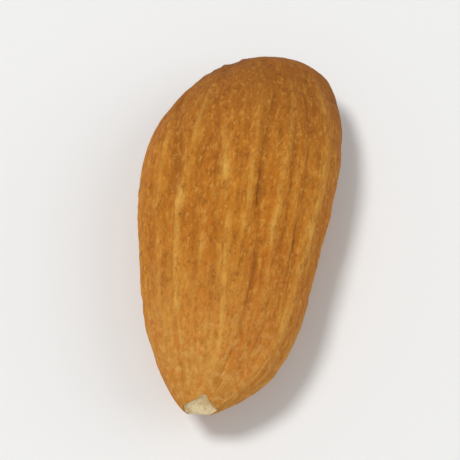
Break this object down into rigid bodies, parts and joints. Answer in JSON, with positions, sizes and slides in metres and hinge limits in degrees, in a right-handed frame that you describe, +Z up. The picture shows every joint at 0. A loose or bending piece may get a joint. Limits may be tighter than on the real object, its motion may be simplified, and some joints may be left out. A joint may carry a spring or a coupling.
{
  "type": "almond",
  "caption": "Whole almond kernel in its brown ribbed skin, a flattened teardrop with a full broad end and a small bare chip at the tip, lying on one face.",
  "frame": {"origin": "middle of the bottom of the kernel's box, level with the small flat spot it rests on", "axes": "+Y from the pointed tip to the broad end, +X to the side with the fuller shoulder and the keel, +Z up through the broad face"},
  "size_m": [0.013, 0.0254, 0.0077],
  "materials": {
    "almond_skin": "dry matt golden brown seed skin with lengthwise ribs and a scurfy grain, cream where chipped"
  },
  "bodies": {
    "root": {"almond": "almond_skin"}
  },
  "joints": []
}
